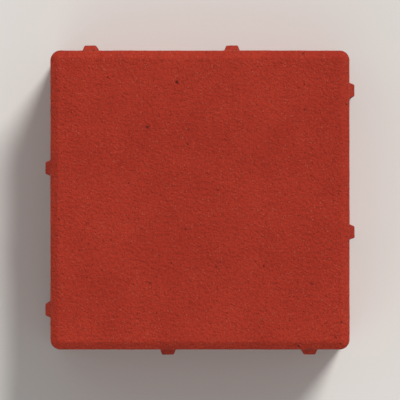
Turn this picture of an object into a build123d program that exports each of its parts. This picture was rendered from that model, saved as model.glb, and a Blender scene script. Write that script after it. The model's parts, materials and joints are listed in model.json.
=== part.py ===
from build123d import *
from math import radians, tan
import os

# A square concrete paving stone, pressed in one piece from concrete coloured right through.
# It stands on its bed face: the origin is the middle of that face, and +Z is up.
# A quarter turn about Z brings each side onto the next one, and the two nibs of a side stand
# off its middle by unlike amounts, so the nibs of two neighbouring stones never meet.
# All sizes are in millimetres and degrees.

# Laying grid
LAYING_PITCH = 200.0  # from the middle of one stone to the middle of the next
JOINT_WIDTH = 3.8  # gap between the walls of two stones, filled with sand

# Body
STONE_SIDE = LAYING_PITCH - JOINT_WIDTH
STONE_HEIGHT = 80.0

# Bevel round the wearing face, as wide round the corners as along the sides
BEVEL_WIDTH = 5.0  # seen from above
BEVEL_DROP = 3.0  # below the wearing face
FACE_CORNER_RADIUS = 1.5
CORNER_RADIUS = FACE_CORNER_RADIUS + BEVEL_WIDTH
SHOULDER_RADIUS = 3.0  # where the wearing face turns into the bevel
ARRIS_RADIUS = 0.4  # where the bevel turns into the wall

# Spacer nibs, two on each side, with their places counted from the middle of the side
FAR_NIB_OFFSET = 0.36 * LAYING_PITCH
NEAR_NIB_OFFSET = -0.105 * LAYING_PITCH
NIB_SLACK = 0.2  # room left between a nib and the neighbour's wall
NIB_REACH = JOINT_WIDTH - NIB_SLACK
NIB_DRAFT = 0.2  # how much further a nib reaches at the bed than at its top
NIB_ROOT_WIDTH = 10.0
NIB_CREST_WIDTH = 7.5
NIB_ROOT_RADIUS = 0.4  # where a nib grows out of the wall
NIB_CREST_RADIUS = 1.0  # on its outer edges
NIB_TOP_GAP = 0.5  # from the foot of the bevel down to the top of a nib
NIB_TOP_SLOPE = 45.0  # how steeply a nib's top falls away from the wall
NIB_EMBEDMENT = 0.5  # how far a nib's solid runs back into the stone

WALL = STONE_SIDE / 2
BEVEL_FOOT = STONE_HEIGHT - BEVEL_DROP
NIB_TOP = BEVEL_FOOT - NIB_TOP_GAP

# One nib, drawn with the wall at x = 0 and growing towards +X. Its flanks and its sloping top
# run on past the wall, into the stone.
nib_fall = tan(radians(NIB_TOP_SLOPE))
nib_narrowing = (NIB_ROOT_WIDTH - NIB_CREST_WIDTH) / 2 / NIB_REACH
nib_back = NIB_ROOT_WIDTH / 2 + NIB_EMBEDMENT * nib_narrowing
nib_top_reach = NIB_REACH - NIB_DRAFT
with BuildPart() as nib:
    with BuildSketch():
        with BuildLine():
            Polyline(
                (-NIB_EMBEDMENT, -nib_back),
                (NIB_REACH, -NIB_CREST_WIDTH / 2),
                (NIB_REACH, NIB_CREST_WIDTH / 2),
                (-NIB_EMBEDMENT, nib_back),
                close=True,
            )
        make_face()
    extrude(amount=STONE_HEIGHT)
    with BuildSketch(Plane.XZ):
        with BuildLine():
            Polyline(
                (-NIB_EMBEDMENT, 0),
                (NIB_REACH, 0),
                (nib_top_reach, NIB_TOP - nib_top_reach * nib_fall),
                (-NIB_EMBEDMENT, NIB_TOP + NIB_EMBEDMENT * nib_fall),
                close=True,
            )
        make_face()
    extrude(amount=nib_back, both=True, mode=Mode.INTERSECT)
    outer_edges = nib.edges().filter_by(lambda edge: edge.center().X > 0 and edge.center().Z > 0)
    fillet(outer_edges, NIB_CREST_RADIUS)

# The stone
with BuildPart() as paving_stone:
    with BuildSketch():
        RectangleRounded(STONE_SIDE, STONE_SIDE, CORNER_RADIUS)
    extrude(amount=STONE_HEIGHT)
    wearing_face = paving_stone.faces().sort_by(Axis.Z)[-1]
    chamfer(wearing_face.edges(), BEVEL_WIDTH, BEVEL_DROP, reference=wearing_face)
    bevel_foot = paving_stone.edges().group_by(Axis.Z)[2]
    fillet(bevel_foot, ARRIS_RADIUS)
    wearing_face = paving_stone.faces().sort_by(Axis.Z)[-1]
    fillet(wearing_face.edges(), SHOULDER_RADIUS)
    with PolarLocations(0, 4):
        with Locations((WALL, FAR_NIB_OFFSET, 0), (WALL, NEAR_NIB_OFFSET, 0)):
            add(nib.part)
    fillet(paving_stone.edges(Select.NEW), NIB_ROOT_RADIUS)

paving_stone.part.label = "paving_stone"
os.makedirs("parts", exist_ok=True)
export_step(paving_stone.part, "parts/paving_stone.step")
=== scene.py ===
import json
import logging
import math
from collections.abc import Callable
from dataclasses import dataclass
from enum import Enum, IntEnum
from typing import Any

import bpy
import numpy as np
from bpy.types import ID, Material, Mesh, Node, NodeSocket, NodeTree, Object, World
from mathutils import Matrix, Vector
from numpy.typing import NDArray


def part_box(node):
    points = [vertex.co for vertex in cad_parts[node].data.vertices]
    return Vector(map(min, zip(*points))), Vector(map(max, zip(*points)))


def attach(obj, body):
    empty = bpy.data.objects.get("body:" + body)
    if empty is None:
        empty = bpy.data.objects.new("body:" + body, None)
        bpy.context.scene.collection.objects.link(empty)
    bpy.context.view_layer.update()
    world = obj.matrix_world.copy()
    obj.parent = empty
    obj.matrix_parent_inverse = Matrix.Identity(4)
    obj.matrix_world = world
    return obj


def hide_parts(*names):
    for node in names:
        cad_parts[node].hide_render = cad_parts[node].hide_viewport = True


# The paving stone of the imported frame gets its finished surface: one closed skin with the bevel,
# the rounded arrises and the eight spacer nibs of the solid, roughened as pressed concrete is,
# and coloured right through. Shapes are worked out in millimetres and turned to metres when
# their mesh is made. The stone stands on its bed face, with the origin in the middle of it.

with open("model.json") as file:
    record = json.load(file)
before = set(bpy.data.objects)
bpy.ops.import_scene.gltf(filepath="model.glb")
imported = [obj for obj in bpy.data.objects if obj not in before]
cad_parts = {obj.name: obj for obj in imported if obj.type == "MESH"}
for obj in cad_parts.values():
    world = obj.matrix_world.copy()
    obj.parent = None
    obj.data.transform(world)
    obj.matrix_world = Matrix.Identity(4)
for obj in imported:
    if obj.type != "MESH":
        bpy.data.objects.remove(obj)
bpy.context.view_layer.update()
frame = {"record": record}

Numbers = NDArray[np.float64]
Indices = NDArray[np.int64]
Layers = tuple[tuple[float, float], ...]
Feed = Node | NodeSocket

NODE = "paving_stone"
MM = 0.001  # metres
LEAST_LENGTH = 0.001  # millimetres, in place of 0 where a length divides
WHITE = (1.0, 1.0, 1.0, 1.0)
DENSITY_SAMPLES = 4001

# Large odd numbers that scatter the cells of a grid
CELL_KEYS = np.array([73856093, 19349663, 83492791], np.uint64)
SEED_KEY = 2654435761
MIXING_ROUNDS = ((15, 2246822519), (13, 3266489917))
LAST_SHIFT = 16
LOW_BITS = 0xFFFFFFFF

log = logging.getLogger("paving_stone")


class Zone(Enum):
    """Parts of the surface that look different, by the name of the attribute that marks them."""

    WALL = "wall_share"
    BED = "bed_share"
    WORN = "worn_share"
    PORE = "pore_share"


class Pattern(Enum):
    """The patterns that the concrete's colour and relief are made of."""

    CLOUDS = "clouds"
    GRIT = "grit"
    GRAINS = "grains"
    BULGES = "bulges"
    MARKS = "marks"
    VOIDS = "voids"


class Tone(Enum):
    """The tones of the concrete, as sRGB codes, two of them also used as painted shade."""

    PASTE = "#AE3523"
    DENSE_PASTE = "#A42F1F"
    DUSTY_PASTE = "#AA4B3B"
    # Painted shade for the grit's dips and the marks' grooves, and also the tone of dark sand
    # grains.
    DARK_SAND_AND_PAINTED_SHADE = "#571A14"
    PALE_SAND = "#BE7A63"
    # Painted shade in voids, pinholes and pores.
    PAINTED_VOID_SHADE = "#4A140F"


class Seed(IntEnum):
    """The first seed of each kind of random relief. Its layers count on from there."""

    GRAIN = 1
    FACE_PORES = 11
    WALL_PORES = 31
    DRAWN = 51
    SWAY = 61
    WORN = 71
    CHIPS = 81


# Helpers for numbers


def smooth_step(values: Numbers, low: float, high: float) -> Numbers:
    """Rises smoothly from 0 at low to 1 at high: 3 t^2 - 2 t^3 of the share t of the way."""
    share = np.clip((values - low) / (high - low), 0, 1)
    return share * share * (3 - 2 * share)


def bell(values: Numbers, middle: float, width: float, power: int = 2) -> Numbers:
    """Falls from 1 at the middle to 0 some widths away: exp(-((value - middle) / width)^power)."""
    return np.exp(-(((values - middle) / width) ** power))


def smooth_least(first: Numbers, second: Numbers, blend: float) -> Numbers:
    """Returns the lesser value, less (blend - d)^2 / (4 blend) where their distance d is short."""
    overlap = np.maximum(blend - np.abs(first - second), 0)
    return np.minimum(first, second) - overlap**2 / (4 * blend)


def spread(start: float, stop: float, steps: int, density: Callable[[Numbers], Numbers]) -> Numbers:
    """Places steps + 1 numbers from start to stop, closer together where the density is high.

    The density is summed up along the way, and the numbers lie where equal shares of the whole
    sum are reached.

    Args:
        start: The first number.
        stop: The last number.
        steps: How many gaps there are between the numbers.
        density: How crowded the numbers are at each place, on any scale.

    Returns:
        The numbers, in order.
    """
    places = np.linspace(start, stop, DENSITY_SAMPLES)
    crowd = density(places)
    total = np.concatenate([[0.0], np.cumsum((crowd[1:] + crowd[:-1]) / 2)])
    return np.interp(np.linspace(0, total[-1], steps + 1), total, places)


def scramble(cells: Indices, seed: int) -> Numbers:
    """Gives each cell of an endless grid a fixed random number.

    The cell's three whole coordinates and the seed are multiplied by large odd numbers and
    joined by exclusive or, and the result is mixed by two rounds of shifting and multiplying.

    Args:
        cells: Three whole coordinates per cell, in the last axis.
        seed: Picks one of many patterns.

    Returns:
        One number from 0 to 1 per cell.
    """
    low_bits = np.uint64(LOW_BITS)
    parts = cells.astype(np.uint64) * CELL_KEYS
    mixed = parts[..., 0] ^ parts[..., 1] ^ parts[..., 2] ^ np.uint64(seed * SEED_KEY)
    for shift, factor in MIXING_ROUNDS:
        mixed &= low_bits
        mixed = (mixed ^ mixed >> np.uint64(shift)) * np.uint64(factor)
    mixed &= low_bits
    return (mixed ^ mixed >> np.uint64(LAST_SHIFT)) / float(LOW_BITS)


def clouds(points: Numbers, size: float, seed: int) -> Numbers:
    """Returns soft random blobs about size across, from -1 to 1, at each point.

    Space is cut into cubes as wide as size. Each cube corner has a random value, and a point
    takes the mean of the eight corners round it, weighed by smooth steps of its place between
    them along each axis.

    Args:
        points: One row of three coordinates per point.
        size: Width of a blob, in the points' unit.
        seed: Picks one of many patterns.

    Returns:
        One value per point.
    """
    scaled = points / size
    corner = np.floor(scaled).astype(np.int64)
    part = smooth_step(scaled - corner, 0, 1)
    total = np.zeros(len(points))
    for step in np.ndindex(2, 2, 2):
        weight = np.prod(np.where(step, part, 1 - part), axis=1)
        total += weight * scramble(corner + np.array(step), seed)
    return 2 * total - 1


def layered_clouds(points: Numbers, layers: Layers, seed: int) -> Numbers:
    """Adds up clouds of several sizes.

    Args:
        points: One row of three coordinates per point.
        layers: The width of a blob and the most that it adds, for each layer.
        seed: Picks the first layer's pattern. The others count on from it.

    Returns:
        One value per point.
    """
    total = np.zeros(len(points))
    for count, (width, share) in enumerate(layers):
        total += share * clouds(points, width, seed + count)
    return total


def linear_colour(code: str) -> tuple[float, ...]:
    """Turns an sRGB hex code into a linear colour.

    A share c of full light becomes c / 12.92 up to 0.04045, and ((c + 0.055) / 1.055)^2.4 above.

    Args:
        code: Such as "#9D3326".

    Returns:
        Red, green and blue from 0 to 1, and an alpha of 1.
    """
    shares = np.array(list(bytes.fromhex(code[1:]))) / 255
    linear = np.where(shares <= 0.04045, shares / 12.92, ((shares + 0.055) / 1.055) ** 2.4)
    return (*linear.tolist(), 1.0)


def texture_scale(width: float) -> float:
    """Turns the width of a pattern's features in millimetres into features per metre."""
    return 1 / (width * MM)


# Helpers for the scene


def add_object(name: str, data: ID) -> Object:
    """Adds an object to the scene.

    Args:
        name: The object's name.
        data: Its mesh, lamp or camera.

    Returns:
        The new object.
    """
    added = bpy.data.objects.new(name, data)
    bpy.context.scene.collection.objects.link(added)
    return added


def empty_tree(owner: Material | World) -> NodeTree:
    """Gives a material or world an empty node tree.

    Args:
        owner: The material or world.

    Returns:
        The tree, which takes the owner's nodes.
    """
    owner.use_nodes = True
    owner.node_tree.nodes.clear()
    return owner.node_tree


def add_node(
    tree: NodeTree, kind: str, feeds: dict[str | int, Any] | None = None, **settings: Any
) -> Node:
    """Adds a node to a tree, with its settings, its input values and its links.

    Args:
        tree: The node tree that gets the node.
        kind: The node's type, by Blender's name for it without "ShaderNode".
        feeds: For an input's name or number, its value, the socket linked to it, or the node
            whose first live output is linked to it.
        **settings: Values of the node's own properties.

    Returns:
        The new node.
    """
    node = tree.nodes.new(f"ShaderNode{kind}")
    for name, value in settings.items():
        setattr(node, name, value)
    for name, value in (feeds or {}).items():
        if isinstance(value, Node):
            value = next(output for output in value.outputs if output.enabled)
        if isinstance(value, NodeSocket):
            tree.links.new(value, node.inputs[name])
        else:
            node.inputs[name].default_value = value
    return node


# The stone's surface


@dataclass(frozen=True)
class SpacerNibs:
    """The two nibs of one side: tapered ribs from the bed up to just below the bevel.

    Sizes are in millimetres. Places along a side count from its middle, anticlockwise round the
    stone as seen from above. The net of the stone's skin is crowded at the nibs' flanks, by
    `crowding_gain` within `crowding_width`.
    """

    reach: float
    top: float
    far_offset: float = 72.0
    near_offset: float = -21.0
    draft: float = 0.2
    root_half_width: float = 5.0
    crest_half_width: float = 3.75
    root_blend: float = 0.8
    crest_blend: float = 1.3
    crowding_gain: float = 5.0
    crowding_width: float = 1.0

    def distance(self, along: Numbers) -> Numbers:
        """Distance of each place along a side from the middle of the nearer nib."""
        return np.minimum(np.abs(along - self.far_offset), np.abs(along - self.near_offset))

    def stand_off(self, along: Numbers, height: Numbers) -> Numbers:
        """Works out how far the nibs stand off the wall.

        A nib is the least of three planes: its crest, which leans out towards the bed by the
        draft, its flank, which falls from crest width to root width, and its top, which falls
        away from the wall at 45 degrees. Crossings of the planes are rounded, and so is the
        root, where the nib rises from the wall at 0.

        Args:
            along: Places along a side.
            height: Heights above the bed, which pair with them.

        Returns:
            The distance from the wall, 0 beside the nibs.
        """
        crest = self.reach - self.draft * height / self.top
        fall = self.reach / (self.root_half_width - self.crest_half_width)
        flank = (self.root_half_width - self.distance(along)) * fall
        ribs = smooth_least(crest, flank, self.crest_blend)
        nibs = smooth_least(ribs, self.top - height, self.crest_blend)
        return -smooth_least(-nibs, np.zeros_like(nibs), self.root_blend)

    def crowding(self, along: Numbers) -> Numbers:
        """Works out how crowded the net's lines are: 1, and more at the nibs' flanks.

        A line runs on to the facing side, where the nibs lie mirrored, so both count.

        Args:
            along: Places along a side.

        Returns:
            The density of the lines there.
        """
        flank = (self.root_half_width + self.crest_half_width) / 2
        away = np.minimum(self.distance(along), self.distance(-along))
        return 1 + self.crowding_gain * bell(away, flank, self.crowding_width)


@dataclass(frozen=True)
class Edge:
    """The stone's edge in section, from the flat of the wearing face out and down to the wall."""

    bevel_width: float = 5.0
    bevel_drop: float = 3.0
    shoulder_radius: float = 3.0
    arris_radius: float = 0.4
    corner_radius: float = 6.5
    shoulder_steps: int = 5
    bevel_steps: int = 6
    arris_steps: int = 4

    @property
    def slope(self) -> float:
        """The bevel's angle below the wearing face, in radians."""
        return math.atan2(self.bevel_drop, self.bevel_width)

    @property
    def steps(self) -> int:
        """How many steps the section has, with one from the flat to the shoulder."""
        return 1 + self.shoulder_steps + self.bevel_steps + self.arris_steps

    def section(self) -> tuple[Numbers, Numbers]:
        """Works out the section as steps from the flat to the wall.

        The bevel is a straight line at the angle whose tangent is drop over width. An arc turns
        the flat into it and another turns it into the wall. An arc of radius r that turns by an
        angle starts r tan(half of it) before the corner and ends as far behind it.

        Returns:
            Distances inwards from the wall, and distances below the wearing face.
        """
        slope = self.slope
        shoulder_reach = self.shoulder_radius * math.tan(slope / 2)
        arris_reach = self.arris_radius * math.tan((math.pi / 2 - slope) / 2)
        turn = np.linspace(0, slope, self.shoulder_steps + 1)
        shoulder_in = self.bevel_width + shoulder_reach - self.shoulder_radius * np.sin(turn)
        shoulder_down = self.shoulder_radius * (1 - np.cos(turn))
        turn = np.linspace(slope, math.pi / 2, self.arris_steps + 1)
        arris_in = self.arris_radius * (1 - np.sin(turn))
        arris_down = self.bevel_drop + arris_reach - self.arris_radius * np.cos(turn)
        share = np.linspace(0, 1, self.bevel_steps + 1)[1:-1]
        bevel_in = shoulder_in[-1] + share * (arris_in[0] - shoulder_in[-1])
        bevel_down = shoulder_down[-1] + share * (arris_down[0] - shoulder_down[-1])
        inwards = np.concatenate([[self.corner_radius], shoulder_in, bevel_in, arris_in])
        downwards = np.concatenate([[0.0], shoulder_down, bevel_down, arris_down])
        return inwards, downwards


@dataclass(frozen=True)
class Pores:
    """Round hollows where air stayed in the mix. Sizes are in millimetres."""

    spacing: float
    share: float
    radius: tuple[float, float]
    depth: float
    seed: int

    def hollow(self, points: Numbers) -> Numbers:
        """Works out how deep each point lies in a pore.

        Space is cut into cubes as wide as the spacing, and the given share of them holds a pore
        with a random middle and radius. At a distance d from the middle of one of radius r, the
        hollow is (1 - (d / r)^2)^2. The deepest of the 27 cubes round a point counts.

        Args:
            points: One row of three coordinates per point.

        Returns:
            From 0 outside the pores to 1 in the middle of one.
        """
        home = np.floor(points / self.spacing).astype(np.int64)
        small, large = self.radius
        deepest = np.zeros(len(points))
        for step in np.ndindex(3, 3, 3):
            cell = home + np.array(step) - 1
            *shift, size, rank = (scramble(cell, self.seed + count) for count in range(5))
            middle = (cell + np.stack(shift, axis=1)) * self.spacing
            radius = small + (large - small) * size**2
            nearness = 1 - np.sum((points - middle) ** 2, axis=1) / radius**2
            depth = (rank < self.share) * np.maximum(nearness, 0) ** 2
            deepest = np.maximum(deepest, depth)
        return deepest


@dataclass(frozen=True)
class Relief:
    """How far the concrete's surface strays from the true shape, in millimetres.

    The walls are rougher than the pressed face, and carry upright marks from the mould. Arrises
    are rubbed in stretches, and chipped where the chip layers add up high.
    """

    face_grain: float = 0.025
    wall_grain: float = 0.08
    bed_grain: float = 0.095
    grain_layers: Layers = ((9.0, 1.0), (4.5, 0.75), (2.25, 0.56))
    draw_depth: float = 0.05
    draw_width: float = 2.6
    draw_stretch: float = 12.5
    sway_depth: float = 0.05
    sway_width: float = 38.0
    worn_depth: float = 0.16
    worn_reach: float = 0.9
    worn_share: float = 0.7
    worn_layers: Layers = ((22.0, 0.3), (5.0, 0.25))
    chip_depth: float = 0.55
    chip_reach: float = 1.3
    chip_layers: Layers = ((4.5, 1.0), (1.8, 0.35), (30.0, 0.3))
    chip_span: tuple[float, float] = (0.62, 1.05)
    arris_reach: float = 1.4
    face_pores: Pores = Pores(9.0, share=0.30, radius=(0.8, 1.9), depth=0.35, seed=Seed.FACE_PORES)
    wall_pores: Pores = Pores(6.5, share=0.55, radius=(0.9, 2.6), depth=0.8, seed=Seed.WALL_PORES)

    def near_arris(self, arris_distance: Numbers) -> Numbers:
        """Share of the arris at each point, 1 on it and 0 further off than its reach."""
        return bell(arris_distance, 0, self.arris_reach, power=4)

    def worn(self, points: Numbers, arris_distance: Numbers) -> Numbers:
        """Works out how rubbed each point is, from 0 to 1."""
        stretches = self.worn_share + layered_clouds(points, self.worn_layers, Seed.WORN)
        return np.clip(stretches, 0, 1) * bell(arris_distance, 0, self.worn_reach)

    def chipped(self, points: Numbers, arris_distance: Numbers) -> Numbers:
        """Works out how deep each point lies in a chip, from 0 to 1."""
        blobs = layered_clouds(points, self.chip_layers, Seed.CHIPS)
        return smooth_step(blobs, *self.chip_span) * bell(arris_distance, 0, self.chip_reach)

    def heights(
        self, points: Numbers, wall: Numbers, bed: Numbers, arris_distance: Numbers
    ) -> tuple[Numbers, Numbers, Numbers]:
        """Adds up all relief, weighed by the zones.

        The height is the grain times the zone's roughness, plus the upright marks on the walls
        and a wide sway, less each pore, rubbed place and chip times its depth. Pores of both
        kinds fade out towards the arrises.

        Args:
            points: One row of three coordinates per point.
            wall: Share of the wall at each point, from 0 to 1.
            bed: Share of the bed.
            arris_distance: Distance from the nearest arris.

        Returns:
            The height above the true shape, the share of rubbed or chipped surface, and the
            share of pores, one of each per point.
        """
        worn = self.worn(points, arris_distance)
        chip = self.chipped(points, arris_distance)
        inland = 1 - self.near_arris(arris_distance)
        face_pore = self.face_pores.hollow(points) * (1 - wall) * (1 - bed) * inland
        wall_pore = self.wall_pores.hollow(points) * np.maximum(wall, bed) * inland
        roughness = self.face_grain + wall * (self.wall_grain - self.face_grain)
        roughness += bed * (self.bed_grain - self.face_grain)
        upright = points / [1, 1, self.draw_stretch]
        height = layered_clouds(points, self.grain_layers, Seed.GRAIN) * roughness
        height += wall * clouds(upright, self.draw_width, Seed.DRAWN) * self.draw_depth
        height += clouds(points, self.sway_width, Seed.SWAY) * self.sway_depth
        height -= face_pore * self.face_pores.depth + wall_pore * self.wall_pores.depth
        height -= worn * self.worn_depth + chip * self.chip_depth
        return height, np.maximum(worn, chip), np.maximum(face_pore, wall_pore)


@dataclass(frozen=True)
class Tint:
    """A tone mixed into a colour where a zone or pattern goes from the span's start to its end."""

    where: Zone | Pattern
    span: tuple[float, float]
    share: float
    tone: Tone


@dataclass(frozen=True)
class PressedConcrete:
    """Machine-pressed concrete with iron oxide pigment, stripped from its mould while damp.

    It gives the eye a dry, matt, nearly even red with a sandy grain. The cement paste is faintly
    cloudy, single sand grains show paler or darker than it, and the drawn walls and rubbed edges
    are dustier and more open. Widths and heights are in millimetres. Sand goes down to 0.1 mm,
    which can't show, so only its coarser grains are drawn.
    """

    name: str = "pressed_pigmented_concrete"
    base: Tone = Tone.PASTE
    tints: tuple[Tint, ...] = (
        Tint(Pattern.CLOUDS, (1.05, 0.55), 1.0, Tone.DENSE_PASTE),
        Tint(Zone.WALL, (0.1, 1.0), 0.25, Tone.DUSTY_PASTE),
        Tint(Zone.BED, (0.1, 1.0), 0.50, Tone.DUSTY_PASTE),
        Tint(Zone.WORN, (0.1, 1.0), 0.50, Tone.DUSTY_PASTE),
        # Painted shade: where the grit's noise, which is also its height, is low, its dips are
        # darkened.
        Tint(Pattern.GRIT, (0.56, 0.30), 0.30, Tone.DARK_SAND_AND_PAINTED_SHADE),
        # Painted shade in the grooves of the mould's marks, which the relief also lowers.
        Tint(Pattern.MARKS, (0.0, 1.0), 0.22, Tone.DARK_SAND_AND_PAINTED_SHADE),
        Tint(Pattern.GRAINS, (0.76, 0.98), 0.24, Tone.PALE_SAND),
        # Dark sand grains at random, in the tone that also paints the shade.
        Tint(Pattern.GRAINS, (0.28, 0.02), 0.24, Tone.DARK_SAND_AND_PAINTED_SHADE),
        # Painted shade: voids, pinholes and pores darkened nearly to black.
        Tint(Pattern.VOIDS, (0.0, 1.0), 0.92, Tone.PAINTED_VOID_SHADE),
    )
    heights: tuple[tuple[Pattern, float], ...] = (
        (Pattern.GRIT, 1.0),
        (Pattern.BULGES, -0.45),
        (Pattern.MARKS, -0.12),
        (Pattern.VOIDS, -0.5),
    )
    roughness: float = 0.93
    specular: float = 0.2
    cloud_width: float = 62.0
    patch_width: float = 17.0
    patch_share: float = 0.6
    grit_width: float = 2.0
    grain_width: float = 1.2
    grain_rim: float = 0.62
    grain_body: float = 0.28
    raggedness: float = 1.0
    mark_width: float = 2.4
    mark_length: float = 24.0
    mark_span: tuple[float, float] = (0.4, 0.7)
    gap_width: float = 1.1
    gap_span: tuple[float, float] = (0.33, 0.27)
    open_zone_drop: float = 0.07
    cluster_width: float = 24.0
    cluster_span: tuple[float, float] = (0.38, 0.64)
    cluster_least: float = 0.15
    pinhole_spacing: float = 4.6
    pinhole_odds: tuple[float, float] = (0.55, 1.2)
    pinhole_sizes: tuple[float, float] = (0.40, 1.05)
    pinhole_rim: float = 0.12

    def material(self) -> Material:
        """Builds the material: the tints are mixed in order, and the heights are added up.

        Returns:
            The material, on Object coordinates, with the zones read from attributes.
        """
        material = bpy.data.materials.new(self.name)
        tree = empty_tree(material)
        layers = self.layers(tree)
        colour: Any = linear_colour(self.base.value)
        for tint in self.tints:
            feeds = {
                "Value": layers[tint.where],
                "From Min": tint.span[0],
                "From Max": tint.span[1],
                "To Max": tint.share,
            }
            share = add_node(tree, "MapRange", feeds, interpolation_type="SMOOTHSTEP")
            feeds = {0: share, 6: colour, 7: linear_colour(tint.tone.value)}
            colour = add_node(tree, "Mix", feeds, data_type="RGBA")
        height: Any = 0.0
        for pattern, amount in self.heights:
            feeds = {0: layers[pattern], 1: amount, 2: height}
            height = add_node(tree, "Math", feeds, operation="MULTIPLY_ADD")
        feeds = {
            "Base Color": colour,
            "Roughness": self.roughness,
            "Specular IOR Level": self.specular,
            "Normal": add_node(tree, "Bump", {"Strength": 1.0, "Distance": MM, "Height": height}),
        }
        add_node(tree, "OutputMaterial", {"Surface": add_node(tree, "BsdfPrincipled", feeds)})
        return material

    def layers(self, tree: NodeTree) -> dict[Zone | Pattern, Feed]:
        """Adds the nodes of all zones and patterns.

        Args:
            tree: The material's node tree.

        Returns:
            The node or socket of each zone and pattern.
        """
        place = add_node(tree, "TexCoord").outputs["Object"]
        readers = {zone: add_node(tree, "Attribute", attribute_name=zone.value) for zone in Zone}
        zones = {zone: reader.outputs["Fac"] for zone, reader in readers.items()}
        ragged = self.ragged(tree, place)
        bulges, grains = self.grains(tree, ragged)
        feeds = {"Vector": place, "Scale": texture_scale(self.grit_width), "Detail": 5.0}
        return {
            **zones,
            Pattern.CLOUDS: self.clouds(tree, place),
            Pattern.GRIT: add_node(tree, "TexNoise", {**feeds, "Roughness": 0.62}),
            Pattern.GRAINS: grains,
            Pattern.BULGES: bulges,
            Pattern.MARKS: self.marks(tree, place, zones[Zone.WALL]),
            Pattern.VOIDS: self.voids(tree, place, ragged, zones),
        }

    def grains(self, tree: NodeTree, ragged: Feed) -> tuple[Feed, Feed]:
        """Draws single sand grains, as random cells.

        A grain's bulge is the distance from its middle, and its tone goes from 0.5 at its rim
        to the cell's own number from 0 to 1 near its middle.

        Args:
            tree: The material's node tree.
            ragged: The places on the stone, shifted by noise.

        Returns:
            The bulge and the tone.
        """
        feeds = {"Vector": ragged, "Scale": texture_scale(self.grain_width)}
        cells = add_node(tree, "TexVoronoi", feeds)
        number = add_node(tree, "SeparateColor", {"Color": cells.outputs["Color"]})
        feeds = {
            "Value": cells,
            "From Min": self.grain_rim,
            "From Max": self.grain_body,
            "To Min": 0.5,
            "To Max": number,
        }
        return cells, add_node(tree, "MapRange", feeds, interpolation_type="SMOOTHSTEP")

    def ragged(self, tree: NodeTree, place: Feed) -> Feed:
        """Shifts places by a fine noise, which makes round grains and pores ragged.

        Args:
            tree: The material's node tree.
            place: The places to shift.

        Returns:
            The shifted places.
        """
        feeds = {"Vector": place, "Scale": texture_scale(self.raggedness), "Detail": 2.0}
        shift = add_node(tree, "TexNoise", feeds).outputs["Color"]
        feeds = {0: shift, 1: (self.raggedness * MM,) * 3, 2: place}
        return add_node(tree, "VectorMath", feeds, operation="MULTIPLY_ADD")

    def clouds(self, tree: NodeTree, place: Feed) -> Feed:
        """Adds up wide soft clouds and a share of smaller patches.

        Args:
            tree: The material's node tree.
            place: The places on the stone.

        Returns:
            The sum, about 0.8 on average.
        """
        feeds = {"Vector": place, "Detail": 4.0, "Roughness": 0.6}
        wide = add_node(tree, "TexNoise", {**feeds, "Scale": texture_scale(self.cloud_width)})
        small = add_node(tree, "TexNoise", {**feeds, "Scale": texture_scale(self.patch_width)})
        feeds = {0: small, 1: self.patch_share, 2: wide}
        return add_node(tree, "Math", feeds, operation="MULTIPLY_ADD")

    def marks(self, tree: NodeTree, place: Feed, wall: Feed) -> Feed:
        """Draws the upright marks that the mould leaves when it lifts off, on the walls only.

        Args:
            tree: The material's node tree.
            place: The places on the stone.
            wall: The share of the wall there.

        Returns:
            From 0 to the wall's share in a mark.
        """
        squeeze = (1.0, 1.0, self.mark_width / self.mark_length)
        drawn = add_node(tree, "Mapping", {"Vector": place, "Scale": squeeze})
        feeds = {"Vector": drawn, "Scale": texture_scale(self.mark_width), "Detail": 3.0}
        noise = add_node(tree, "TexNoise", {**feeds, "Roughness": 0.6})
        start, stop = self.mark_span
        feeds = {"Value": noise, "From Min": start, "From Max": stop, "To Max": wall}
        return add_node(tree, "MapRange", feeds, interpolation_type="SMOOTHSTEP")

    def openness(self, tree: NodeTree, place: Feed, zones: dict[Zone, Feed]) -> Feed:
        """Marks the more open concrete of the walls and the bed, which gathers in clusters.

        It is the greater of the two zones' shares, times a wide noise that is stretched to go
        from the least share to 1.

        Args:
            tree: The material's node tree.
            place: The places on the stone.
            zones: The share of each zone there.

        Returns:
            From 0 on the wearing face to 1 in a cluster.
        """
        feeds = {"Vector": place, "Scale": texture_scale(self.cluster_width), "Detail": 2.0}
        noise = add_node(tree, "TexNoise", feeds)
        start, stop = self.cluster_span
        least = self.cluster_least
        feeds = {"Value": noise, "From Min": start, "From Max": stop, "To Min": least}
        cluster = add_node(tree, "MapRange", feeds, interpolation_type="SMOOTHSTEP")
        feeds = {0: zones[Zone.WALL], 1: zones[Zone.BED]}
        unpressed = add_node(tree, "Math", feeds, operation="MAXIMUM")
        return add_node(tree, "Math", {0: unpressed, 1: cluster}, operation="MULTIPLY")

    def gaps(self, tree: NodeTree, noise: Feed, openness: Feed) -> Feed:
        """Marks fine gaps between the grains where a noise, lowered by the openness, is low.

        Args:
            tree: The material's node tree.
            noise: A fine noise.
            openness: How open the concrete is.

        Returns:
            From 0 outside to 1 in a gap.
        """
        feeds = {0: openness, 1: -self.open_zone_drop, 2: noise}
        lowered = add_node(tree, "Math", feeds, operation="MULTIPLY_ADD")
        start, stop = self.gap_span
        feeds = {"Value": lowered, "From Min": start, "From Max": stop}
        return add_node(tree, "MapRange", feeds, interpolation_type="SMOOTHSTEP")

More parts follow.
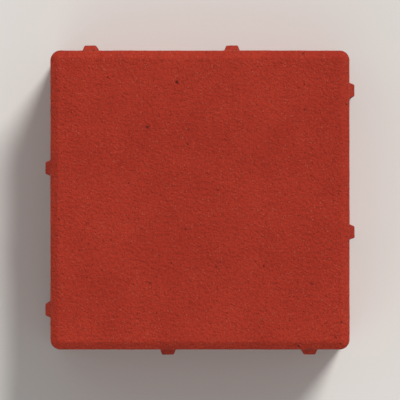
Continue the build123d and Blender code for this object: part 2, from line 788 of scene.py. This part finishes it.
    def pinholes(self, tree: NodeTree, ragged: Feed, noise: Feed, openness: Feed) -> Feed:
        """Marks pinholes, each in the middle of a random cell.

        A pinhole's radius comes from its cell's own number, is nothing for most cells, is
        larger where the concrete is open, and grows and shrinks with the noise along its rim.

        Args:
            tree: The material's node tree.
            ragged: The places on the stone, shifted by noise.
            noise: A fine noise.
            openness: How open the concrete is.

        Returns:
            From 0 outside to 1 in a pinhole.
        """
        feeds = {"Vector": ragged, "Scale": texture_scale(self.pinhole_spacing)}
        cells = add_node(tree, "TexVoronoi", feeds)
        number = add_node(tree, "SeparateColor", {"Color": cells.outputs["Color"]})
        small, large = self.pinhole_sizes
        largest = add_node(tree, "MapRange", {"Value": openness, "To Min": small, "To Max": large})
        start, stop = self.pinhole_odds
        feeds = {"Value": number, "From Min": start, "From Max": stop, "To Max": largest}
        radius = add_node(tree, "MapRange", feeds, interpolation_type="SMOOTHSTEP")
        uneven = add_node(tree, "Math", {0: radius, 1: noise}, operation="MULTIPLY")
        depth = add_node(tree, "Math", {0: uneven, 1: cells}, operation="SUBTRACT")
        feeds = {"Value": depth, "From Max": self.pinhole_rim}
        return add_node(tree, "MapRange", feeds, interpolation_type="SMOOTHSTEP")

    def voids(self, tree: NodeTree, place: Feed, ragged: Feed, zones: dict[Zone, Feed]) -> Feed:
        """Marks all voids, the greatest of the mesh's pores, the pinholes and the fine gaps, which
        the material darkens as painted shade.

        Args:
            tree: The material's node tree.
            place: The places on the stone.
            ragged: The same, shifted by noise.
            zones: The share of each zone there.

        Returns:
            From 0 outside to 1 in a void.
        """
        openness = self.openness(tree, place, zones)
        feeds = {"Vector": place, "Scale": texture_scale(self.gap_width), "Detail": 3.0}
        noise = add_node(tree, "TexNoise", {**feeds, "Roughness": 0.6})
        gaps = self.gaps(tree, noise, openness)
        pinholes = self.pinholes(tree, ragged, noise, openness)
        fine = add_node(tree, "Math", {0: gaps, 1: pinholes}, operation="MAXIMUM")
        return add_node(tree, "Math", {0: fine, 1: zones[Zone.PORE]}, operation="MAXIMUM")


@dataclass(frozen=True)
class PavingStone:
    """The stone's skin: a square net on top, a strip round the walls and a square net below.

    The net's lines are counted from the middle, and its rings from 0 in the middle to `lines` at
    the edge. The rings past `flat_lines` carry the edge and the rounded corners. Sizes are in
    millimetres.
    """

    wall: float
    height: float
    nibs: SpacerNibs
    edge: Edge = Edge()
    relief: Relief = Relief()
    finish: PressedConcrete = PressedConcrete()
    flat_lines: int = 88
    even_rings: int = 62
    crowded_rings: int = 86
    wall_rows: int = 44
    foot_rows: int = 3
    nib_top_gain: float = 4.5
    nib_top_depth: float = 1.6
    nib_top_span: float = 2.2
    foot_gain: float = 2.5
    foot_span: float = 1.2
    foot_radius: float = 0.5
    bed_margin: float = 1.6
    level_rise: tuple[float, float] = (0.45, 0.8)

    @classmethod
    def from_frame(cls, nib_top_gap: float = 0.5) -> "PavingStone":
        """Takes the stone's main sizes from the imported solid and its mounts.

        Args:
            nib_top_gap: Height between the foot of the bevel and the top of a nib.

        Returns:
            The stone, not built yet.
        """
        mounts = {mount["name"]: mount["pos_m"] for mount in frame["record"]["mounts"]}
        wall = mounts["joint_face_x_pos"][0] / MM
        height = mounts["wearing_face"][2] / MM
        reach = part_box(NODE)[1].x / MM - wall
        nib_top = height - Edge().bevel_drop - nib_top_gap
        return cls(wall, height, SpacerNibs(reach, nib_top))

    @property
    def lines(self) -> int:
        """The number of the net's outermost line and ring."""
        return self.flat_lines + self.edge.steps

    @property
    def straight(self) -> float:
        """Half the length of a side between its rounded corners."""
        return self.wall - self.edge.corner_radius

    def plan(self, column: Indices, row: Indices, half_sizes: Numbers) -> Numbers:
        """Places a net's points as seen from above.

        A point's ring is the greater of its column and row counts, its line the lesser. On the
        flat rings a line's distance from the middle goes smoothly from even spacing, in the
        even rings, to spacing that crowds at the nibs' flanks, in the crowded ones. Past them
        the ring has rounded corners: a line there stands for an angle from 0 to 45 degrees, and
        its point lies on the corner's arc, straight + radius * sin across and
        straight + radius * cos outwards.

        Args:
            column: Count of each point's column, negative to the left of the middle.
            row: Count of each point's row, negative below the middle.
            half_sizes: Half the width of each ring from flat_lines to lines.

        Returns:
            The points' x and y, one row each.
        """
        ring = np.maximum(np.abs(column), np.abs(row))
        line = np.minimum(np.abs(column), np.abs(row))
        even = np.linspace(0, self.straight, self.flat_lines + 1)
        crowded = spread(0, self.straight, self.flat_lines, self.nibs.crowding)
        share = smooth_step(ring.astype(float), self.even_rings, self.crowded_rings)
        flat_line = np.minimum(line, self.flat_lines)
        across = even[flat_line] + share * (crowded - even)[flat_line]
        flat_ring = np.minimum(ring, self.flat_lines)
        outwards = even[flat_ring] + share * (crowded - even)[flat_ring]
        past = np.maximum(ring - self.flat_lines, 0)
        radius = half_sizes[past] - self.straight
        angle = np.maximum(line - self.flat_lines, 0) / np.maximum(past, 1) * math.pi / 4
        across = across + radius * np.sin(angle) * (past > 0)
        outwards = outwards + radius * np.cos(angle) * (past > 0)
        upright = np.abs(column) >= np.abs(row)
        x = np.where(upright, outwards, across) * np.sign(column)
        y = np.where(upright, across, outwards) * np.sign(row)
        return np.stack([x, y], axis=1)

    def net(self, half_sizes: Numbers, heights: Numbers, step: int) -> tuple[Numbers, Indices]:
        """Makes a square net of every step-th line, with its quads turned upwards.

        Each quad starts at the corner from which its diagonal runs towards or away from the
        middle, so that the rounded corners are split into triangles alike.

        Args:
            half_sizes: Half the width of each ring from flat_lines to lines.
            heights: Height of each of those rings. Flat rings are as high as the first.
            step: 1 for every line, 2 for every other.

        Returns:
            The points, and four point numbers per quad.
        """
        counts = np.arange(-self.lines, self.lines + 1, step)
        column, row = (values.ravel() for values in np.meshgrid(counts, counts, indexing="ij"))
        past = np.maximum(np.maximum(np.abs(column), np.abs(row)) - self.flat_lines, 0)
        points = np.column_stack([self.plan(column, row, half_sizes), heights[past]])
        width = len(counts)
        numbers = np.arange(width * width).reshape(width, width)
        left, right = numbers[:-1], numbers[1:]
        quads = np.stack([left[:, :-1], right[:, :-1], right[:, 1:], left[:, 1:]], axis=-1)
        middles = counts[:-1] + step / 2
        mirrored = (middles[:, None] * middles < 0)[..., None]
        return points, np.where(mirrored, np.roll(quads, -1, axis=-1), quads).reshape(-1, 4)

    def rim(self, step: int) -> Indices:
        """Lists the points on a net's rim.

        Args:
            step: 1 for a net of every line, 2 for one of every other.

        Returns:
            The points' numbers, anticlockwise from the lower right corner.
        """
        width = 2 * self.lines // step + 1
        numbers = np.arange(width * width).reshape(width, width)
        right, top = numbers[-1, :-1], numbers[:0:-1, -1]
        left, bottom = numbers[0, :0:-1], numbers[:-1, 0]
        return np.concatenate([right, top, left, bottom])

    def beyond(self, points: Numbers) -> Numbers:
        """How far each point lies, as seen from above, beyond the square inside the corners."""
        reach = np.maximum(np.abs(points[:, :2]) - self.straight, 0)
        return reach * np.sign(points[:, :2])

    def wall_strip(self, rim: Numbers) -> Numbers:
        """Works out the rows of points from below the arris down the wall and in under the foot.

        A row follows the rim, moved straight outwards by the nibs' stand-off. At the foot it
        draws in along a quarter circle, and a last row lies on the bed inside the nibs.

        Args:
            rim: The rim's points, anticlockwise.

        Returns:
            Points by row, place on the rim and coordinate.
        """
        out = self.beyond(rim)
        out /= np.linalg.norm(out, axis=1, keepdims=True)
        along = out[:, 0] * rim[:, 1] - out[:, 1] * rim[:, 0]
        on_side = np.min(np.abs(rim[:, :2]), axis=1) < self.straight

        heights = spread(rim[0, 2], self.foot_radius, self.wall_rows, self.row_crowding)[1:]
        turn = np.linspace(0, math.pi / 2, self.foot_rows + 1)[1:]
        foot_heights = self.foot_radius * (1 - np.sin(turn))
        foot_insets = self.foot_radius * (1 - np.cos(turn))
        heights = np.concatenate([heights, foot_heights, [0.0]])[:, None]
        insets = np.concatenate([np.zeros(self.wall_rows), foot_insets, [self.bed_margin]])[:, None]
        stand_off = self.nibs.stand_off(along[None, :], heights) * on_side
        stand_off[-1] = 0
        flat = rim[None, :, :2] + out[None] * (stand_off - insets)[..., None]
        rows = np.broadcast_to(heights[..., None], (*flat.shape[:2], 1))
        return np.concatenate([flat, rows], axis=2)

    def row_crowding(self, height: Numbers) -> Numbers:
        """Density of the wall's rows: 1, and more at the nibs' sloping tops and at the foot."""
        tops = bell(height, self.nibs.top - self.nib_top_depth, self.nib_top_span, power=4)
        return 1 + self.nib_top_gain * tops + self.foot_gain * bell(height, 0, self.foot_span)

    @staticmethod
    def seam(outer: Indices, inner: Indices) -> Indices:
        """Sews a row of points to one inside it with half as many, by three triangles a step.

        Args:
            outer: Numbers of the outer row's points, anticlockwise.
            inner: Numbers of the inner row's points.

        Returns:
            Three point numbers per triangle.
        """
        here, between, ahead = outer[::2], outer[1::2], np.roll(outer, -2)[::2]
        inner_ahead = np.roll(inner, -1)
        fans = [
            np.stack([here, inner, between], axis=1),
            np.stack([between, inner, inner_ahead], axis=1),
            np.stack([between, inner_ahead, ahead], axis=1),
        ]
        return np.concatenate(fans)

    def skin(self) -> tuple[Numbers, Indices, Indices]:
        """Joins the two nets and the strip into one closed skin.

        Returns:
            The points, four point numbers per quad and three per triangle.
        """
        inwards, downwards = self.edge.section()
        face, face_quads = self.net(self.wall - inwards, self.height - downwards, 1)
        rim_numbers = self.rim(1)
        strip = self.wall_strip(face[rim_numbers])
        around = strip.shape[1]
        strip_numbers = len(face) + np.arange(strip.shape[0] * around).reshape(-1, around)
        rings = np.concatenate([rim_numbers[None], strip_numbers])
        ahead = np.roll(rings, -1, axis=1)
        strip_quads = np.stack([rings[:-1], rings[1:], ahead[1:], ahead[:-1]], axis=-1)

        bed_rings = np.linspace(self.straight, self.wall - 2 * self.bed_margin, self.edge.steps + 1)
        bed, bed_quads = self.net(bed_rings, np.zeros_like(bed_rings), 2)
        bed_start = len(face) + strip.shape[0] * around
        downwards_quads = bed_start + bed_quads[:, [0, 3, 2, 1]]
        points = np.concatenate([face, strip.reshape(-1, 3), bed])
        quads = np.concatenate([face_quads, strip_quads.reshape(-1, 4), downwards_quads])
        return points, quads, self.seam(rings[-1], bed_start + self.rim(2))

    def arris_frame(self, points: Numbers) -> tuple[Numbers, Numbers]:
        """Finds how far each point is from the nearest arris, and which way that arris points.

        The arris below the bevel runs round at the wall, and the foot's at the bed. A distance
        is the root of the squares' sum of the ways sideways and up. An arris points straight
        out from the side and up, or for the foot down, halfway between the faces that it joins.

        Args:
            points: One row of three coordinates per point.

        Returns:
            One distance per point, and one unit vector per point.
        """
        beyond = self.beyond(points)
        reach = np.linalg.norm(beyond, axis=1)
        inwards = self.edge.corner_radius - reach
        arris = np.hypot(inwards, points[:, 2] - self.height + self.edge.bevel_drop)
        foot = np.hypot(inwards, points[:, 2])
        rise = np.where(arris < foot, (math.pi / 2 - self.edge.slope) / 2, -math.pi / 4)
        outwards = beyond / np.maximum(reach, LEAST_LENGTH)[:, None] * np.cos(rise)[:, None]
        return np.minimum(arris, foot), np.column_stack([outwards, np.sin(rise)])

    def roughen(self, mesh: Mesh, points: Numbers) -> None:
        """Moves the skin in and out by the relief, and marks the zones.

        A point moves along its normal, and near an arris the way that the arris points, so that
        its closely set rows don't cross. The stone is pressed on a flat board, so no point goes
        below the bed face.

        Args:
            mesh: The true skin's mesh, in metres.
            points: Its points, in millimetres.
        """
        normals = np.empty(points.size, np.float32)
        mesh.vertex_normals.foreach_get("vector", normals)
        normals = normals.reshape(-1, 3).astype(float)
        wall = 1 - smooth_step(np.abs(normals[:, 2]), *self.level_rise)
        bed = smooth_step(-normals[:, 2], *self.level_rise)
        arris_distance, arris = self.arris_frame(points)
        height, worn, pore = self.relief.heights(points, wall, bed, arris_distance)
        near = self.relief.near_arris(arris_distance)[:, None]
        direction = normals + near * (arris - normals)
        direction /= np.linalg.norm(direction, axis=1, keepdims=True)
        rough = points + direction * height[:, None]
        rough[:, 2] = np.maximum(rough[:, 2], 0)
        mesh.vertices.foreach_set("co", (rough * MM).astype(np.float32).ravel())
        marks = {Zone.WALL: wall, Zone.BED: bed, Zone.WORN: worn, Zone.PORE: pore}
        for zone, share in marks.items():
            attribute = mesh.attributes.new(zone.value, "FLOAT", "POINT")
            attribute.data.foreach_set("value", share.astype(np.float32))
        mesh.update()

    def build(self) -> None:
        """Builds the stone's skin as one object, which stands in for the plain solid."""
        points, quads, triangles = self.skin()
        mesh = bpy.data.meshes.new("pressed_stone")
        mesh.from_pydata((points * MM).tolist(), [], quads.tolist() + triangles.tolist())
        mesh.polygons.foreach_set("use_smooth", np.ones(len(mesh.polygons), bool))
        self.roughen(mesh, points)
        mesh.materials.append(self.finish.material())
        stone = add_object("pressed_stone", mesh)
        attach(stone, "root")
        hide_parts(NODE)
        count = 2 * len(quads) + len(triangles)
        log.info("%s: %d points, %d triangles", stone.name, len(points), count)


# The studio


@dataclass(frozen=True)
class FloorPaint:
    """Matt wall paint on a smooth board. It gives the eye a plain pale ground with no gloss."""

    name: str = "matt_floor_paint"
    colour: str = "#DEDBD6"
    roughness: float = 1.0
    specular: float = 0.0

    def material(self) -> Material:
        """Builds the material.

        Returns:
            The material, even all over.
        """
        material = bpy.data.materials.new(self.name)
        tree = empty_tree(material)
        feeds = {
            "Base Color": linear_colour(self.colour),
            "Roughness": self.roughness,
            "Specular IOR Level": self.specular,
        }
        add_node(tree, "OutputMaterial", {"Surface": add_node(tree, "BsdfPrincipled", feeds)})
        return material


@dataclass(frozen=True)
class SunLamp:
    """A distant lamp. Its azimuth is 0 towards +X and 90 towards +Y. Angles are in degrees.

    The strength is in watts per square metre, the softness is the angle that the lamp fills,
    and the distance, which its light doesn't depend on, is in metres.
    """

    name: str
    azimuth: float
    elevation: float
    strength: float
    softness: float
    distance: float = 2.0

    def hang(self) -> None:
        """Hangs the lamp so that it shines on the stone from its direction."""
        light = bpy.data.lights.new(self.name, "SUN")
        light.energy = self.strength
        light.angle = math.radians(self.softness)
        turn, lift = math.radians(self.azimuth), math.radians(self.elevation)
        flat = math.cos(lift)
        towards = Vector((math.cos(turn) * flat, math.sin(turn) * flat, math.sin(lift)))
        lamp = add_object(self.name, light)
        lamp.location = self.distance * towards
        lamp.rotation_euler = towards.to_track_quat("Z", "Y").to_euler()
        log.info("%s: %.0f degrees round, %.0f up", self.name, self.azimuth, self.elevation)


@dataclass(frozen=True)
class Studio:
    """A pale floor, soft light from the upper right, and a camera straight above the stone.

    The photograph's light comes from the top of the picture and a little from the right, at
    about 45 degrees. Lengths are in metres, and `view_depth` is how far the camera sees.
    """

    floor_half_width: float = 12.0
    floor_paint: FloorPaint = FloorPaint()
    daylight: float = 0.36
    backdrop: float = 0.80
    lamps: tuple[SunLamp, ...] = (
        SunLamp("key_lamp", azimuth=60.0, elevation=45.0, strength=2.55, softness=16.0),
        SunLamp("fill_lamp", azimuth=240.0, elevation=50.0, strength=0.25, softness=40.0),
    )
    camera_distance: float = 3.0
    view_depth: float = 48.0
    frame_width: float = 0.262
    sensor_width: float = 36.0

    def build(self, top: float) -> None:
        """Builds the floor, the world, the lamps and the camera.

        Args:
            top: Height of the wearing face, which the camera frames.
        """
        self.lay_floor()
        self.light_world()
        for lamp in self.lamps:
            lamp.hang()
        self.set_camera(top)
        bpy.context.scene.view_settings.view_transform = "Standard"

    def lay_floor(self) -> None:
        """Lays one large square in the plane of the bed face."""
        half = self.floor_half_width
        corners = [(-half, -half, 0), (half, -half, 0), (half, half, 0), (-half, half, 0)]
        mesh = bpy.data.meshes.new("floor")
        mesh.from_pydata(corners, [], [(0, 1, 2, 3)])
        mesh.materials.append(self.floor_paint.material())
        add_object("floor", mesh)
        log.info("floor: %.0f m square", 2 * half)

    def light_world(self) -> None:
        """Lights from all round, and shows a paler backdrop to the eye and in reflections."""
        world = bpy.data.worlds.new("studio_air")
        tree = empty_tree(world)
        light = add_node(tree, "Background", {"Color": WHITE, "Strength": self.daylight})
        shown = add_node(tree, "Background", {"Color": WHITE, "Strength": self.backdrop})
        rays = add_node(tree, "LightPath").outputs
        gloss = {0: rays["Is Glossy Ray"], 1: rays["Is Transmission Ray"]}
        seen = add_node(tree, "Math", gloss, operation="MAXIMUM")
        seen = add_node(tree, "Math", {0: seen, 1: rays["Is Camera Ray"]}, operation="MAXIMUM")
        both = add_node(tree, "MixShader", {0: seen, 1: light, 2: shown})
        add_node(tree, "OutputWorld", {"Surface": both})
        bpy.context.scene.world = world

    def set_camera(self, top: float) -> None:
        """Sets the camera straight above, with +Y up in the picture.

        Args:
            top: Height of the wearing face, which fills its share of the frame's width.
        """
        camera = bpy.data.cameras.new("camera")
        camera.sensor_width = self.sensor_width
        camera.lens = self.sensor_width * self.camera_distance / self.frame_width
        camera.clip_end = self.view_depth
        holder = add_object("camera", camera)
        holder.location = (0, 0, top + self.camera_distance)
        bpy.context.scene.camera = holder


def main() -> None:
    """Builds the stone, then the studio."""
    logging.basicConfig(level=logging.INFO, format="%(name)s: %(message)s")
    stone = PavingStone.from_frame()
    stone.build()
    Studio().build(stone.height * MM)


if __name__ == "__main__":
    main()
